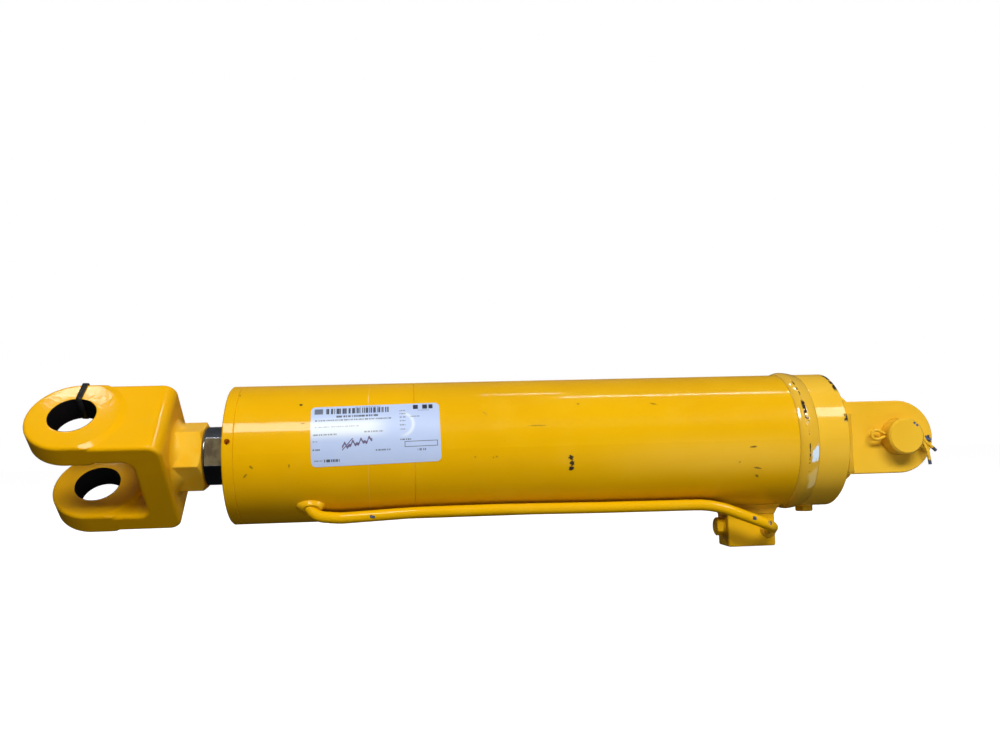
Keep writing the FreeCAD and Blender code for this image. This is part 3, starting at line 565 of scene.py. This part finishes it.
for material, names in NODE_MATERIALS.items():
    for name in names:
        mesh = nodes[name].data
        mesh.materials.clear()
        mesh.materials.append(material)
        mesh.shade_smooth()
        nodes[name].modifiers.new("split", "EDGE_SPLIT").split_angle = SMOOTH_ANGLE


# ---------------------------------------------------------------- cable tie

def tie_path():
    """Closed path of the strap round the ear's section, as places and outward directions."""
    low, high = BORE_R - TIE_GAP, EAR_HALF + TIE_GAP
    near, far = EAR_INNER - TIE_GAP, EAR_OUTER + TIE_GAP
    centres = [(far - TIE_BEND, high - TIE_BEND, 0), (near + TIE_BEND, high - TIE_BEND, 90),
               (near + TIE_BEND, low + TIE_BEND, 180), (far - TIE_BEND, low + TIE_BEND, 270)]
    path = []
    for y, z, start in centres:
        for step in range(TIE_BEND_STEPS + 1):
            a = math.radians(start + step * 90 / TIE_BEND_STEPS)
            out = Vector((0, math.cos(a), math.sin(a)))
            path.append((Vector((0, y, z)) + out * TIE_BEND, out))
    return path


def cable_tie():
    """Black tie looped through one bore of the rod clevis and over the ear's edge, with its head."""
    mesh = bmesh.new()
    side = Vector((TIE_HALF_WIDTH, 0, 0))
    rings = []
    for point, out in tie_path():
        top, bottom = point + out * TIE_HALF_THICK, point - out * TIE_HALF_THICK
        ring = [top - side * 0.9, top + side * 0.9, point + side, bottom + side * 0.9, bottom - side * 0.9,
                point - side]
        rings.append([mesh.verts.new(p) for p in ring])
    for ring, following in zip(rings, rings[1:] + rings[:1]):
        for j in range(len(ring)):
            k = (j + 1) % len(ring)
            mesh.faces.new((ring[j], ring[k], following[k], following[j]))
    head = bmesh.ops.create_cube(mesh, size=1.0)["verts"]
    middle = Vector((0, EAR_INNER - TIE_GAP - TIE_HEAD_OFF, TIE_HEAD_UP))
    for v in head:
        v.co = middle + Vector(size * corner for size, corner in zip(TIE_HEAD, v.co))
    bmesh.ops.bevel(mesh, geom=[e for e in mesh.edges if e.verts[0] in head and e.verts[1] in head],
                    offset=0.0007, segments=2, affect="EDGES")
    turn = Matrix.Rotation(CLEVIS_TURN, 4, "X")
    lean = Matrix.Rotation(TIE_LEAN, 4, "Y")
    place = turn @ Matrix.Translation((CLEVIS_X, 0, 0)) @ lean
    bmesh.ops.transform(mesh, matrix=place, verts=mesh.verts)
    bmesh.ops.recalc_face_normals(mesh, faces=mesh.faces)
    data = bpy.data.meshes.new("cable_tie")
    mesh.to_mesh(data)
    mesh.free()
    data.shade_smooth()
    data.materials.append(nylon)
    tie = bpy.data.objects.new("cable_tie", data)
    bpy.context.scene.collection.objects.link(tie)
    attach(tie, "rod")


cable_tie()


# ---------------------------------------------------------------- floor, light, camera

def pale_floor():
    """Wide floor whose own glow makes it white, so it shows almost no shadow and lights nothing."""
    g = Graph("floor_pale")
    tone = g.mix(g.noise(1.5, 2), (0.27, 0.27, 0.27, 1), (0.29, 0.29, 0.29, 1))
    material = g.finish(tone, 0.9)
    g.shader.inputs["Specular IOR Level"].default_value = 0.0
    g.shader.inputs["Emission Color"].default_value = (1, 1, 1, 1)
    g.shader.inputs["Emission Strength"].default_value = FLOOR_GLOW
    mesh = bpy.data.meshes.new("floor")
    h = FLOOR_SIZE / 2
    mesh.from_pydata([(-h, -h, 0), (h, -h, 0), (h, h, 0), (-h, h, 0)], [], [(0, 1, 2, 3)])
    mesh.materials.append(material)
    floor = bpy.data.objects.new("floor", mesh)
    floor.location = (0.35, 0, cad_box[0].z - FLOOR_GAP)
    bpy.context.scene.collection.objects.link(floor)
    floor.visible_diffuse = False
    floor.visible_glossy = False
    floor.visible_shadow = False


def world_light():
    """White surround for the camera, a dim cool room for reflections, a dim even fill for the rest."""
    world = bpy.data.worlds.new("studio")
    bpy.context.scene.world = world
    world.use_nodes = True
    tree = world.node_tree
    tree.nodes.clear()
    output = tree.nodes.new("ShaderNodeOutputWorld")
    path = tree.nodes.new("ShaderNodeLightPath")
    place = tree.nodes.new("ShaderNodeTexCoord")
    split = tree.nodes.new("ShaderNodeSeparateXYZ")
    rise = tree.nodes.new("ShaderNodeMapRange")
    for value, socket in zip(ROOM_HEIGHTS + ROOM_LEVELS, list(rise.inputs)[1:5]):
        socket.default_value = value
    tree.links.new(place.outputs["Generated"], split.inputs[0])
    tree.links.new(split.outputs["Z"], rise.inputs[0])
    fill, room, surround = [tree.nodes.new("ShaderNodeBackground") for _ in range(3)]
    fill.inputs["Strength"].default_value = FILL_LEVEL
    room.inputs["Color"].default_value = (0.85, 0.92, 1.0, 1)
    tree.links.new(rise.outputs[0], room.inputs["Strength"])
    surround.inputs["Strength"].default_value = 1.0
    for node in (fill, surround):
        node.inputs["Color"].default_value = (1, 1, 1, 1)
    surface = fill.outputs[0]
    for node, ray in ((room, "Is Glossy Ray"), (surround, "Is Camera Ray")):
        mix = tree.nodes.new("ShaderNodeMixShader")
        tree.links.new(path.outputs[ray], mix.inputs[0])
        tree.links.new(surface, mix.inputs[1])
        tree.links.new(node.outputs[0], mix.inputs[2])
        surface = mix.outputs[0]
    tree.links.new(surface, output.inputs["Surface"])


def area(name, location, target, size, power, role="diffuse", colour=(1, 1, 1)):
    """Rectangular lamp, its first side along the cylinder. It lights the paint or is only reflected."""
    lamp = bpy.data.lights.new(name, "AREA")
    lamp.shape = "RECTANGLE"
    lamp.size, lamp.size_y = size
    lamp.energy = power
    lamp.color = colour
    back = (Vector(location) - Vector(target)).normalized()
    along = (Vector((1, 0, 0)) - back * back.x).normalized()
    turn = Matrix((along, back.cross(along), back)).transposed()
    thing = bpy.data.objects.new(name, lamp)
    thing.matrix_world = Matrix.Translation(location) @ turn.to_4x4()
    thing.visible_glossy = role == "glossy"
    thing.visible_diffuse = role == "diffuse"
    bpy.context.scene.collection.objects.link(thing)


pale_floor()
world_light()
area("key", (0.28, 1.75, 1.37), (0.28, 0, 0), (2.0, 0.55), 52)
area("low_front", (-0.25, 1.5, -0.60), (0.25, 0, 0), (1.1, 0.5), 4.8)
area("back", (0.35, -1.7, 1.0), (0.35, 0, 0), (1.6, 0.8), 26)
area("strip_long", (-0.27, 0.0, 1.6), (-0.27, 0, 0), (0.64, 0.03), 2.2, "glossy")
area("strip_short", (0.15, -0.30, 1.6), (0.15, 0, 0), (0.20, 0.03), 0.5, "glossy")
area("patch_ear", (1.27, -0.02, 1.6), (0.9, 0, 0), (0.13, 0.10), 0.7, "glossy")
area("panel_gland", (0.66, 0.82, 0.79), (0.54, 0.05, 0.02), (0.34, 0.30), 4.2, "glossy")
area("panel_cap", (-0.47, 0.73, 0.75), (0.06, 0.05, 0.02), (0.22, 0.32), 3.4, "glossy")
# The blue of this lamp is what makes its reflection in the yellow weld look whitish.
area("low_side", (-1.01, 0.82, -0.47), (0.08, 0.06, -0.01), (0.50, 0.46), 4.1, "glossy", (0.02, 0.47, 1.0))
area("low_sheet", (-0.91, 0.17, -1.00), (0.08, 0.06, -0.01), (0.45, 0.80), 0.7, "glossy", (0.8, 1.0, 0.8))


def camera():
    """Camera at the photograph's viewing angle."""
    data = bpy.data.cameras.new("camera")
    data.sensor_width = 36.0
    data.lens = CAMERA_LENS
    data.clip_start = 0.02
    data.clip_end = 100
    thing = bpy.data.objects.new("camera", data)
    right = Vector(CAMERA_RIGHT).normalized()
    forward = Vector(CAMERA_FORWARD).normalized()
    forward = (forward - right * forward.dot(right)).normalized()
    up = right.cross(forward)
    turn = Matrix((right, up, -forward)).transposed()
    thing.matrix_world = Matrix.Translation(CAMERA_PLACE) @ turn.to_4x4()
    bpy.context.scene.collection.objects.link(thing)
    bpy.context.scene.camera = thing


camera()
view = bpy.context.scene.view_settings
view.view_transform = "Standard"
view.look = "None"
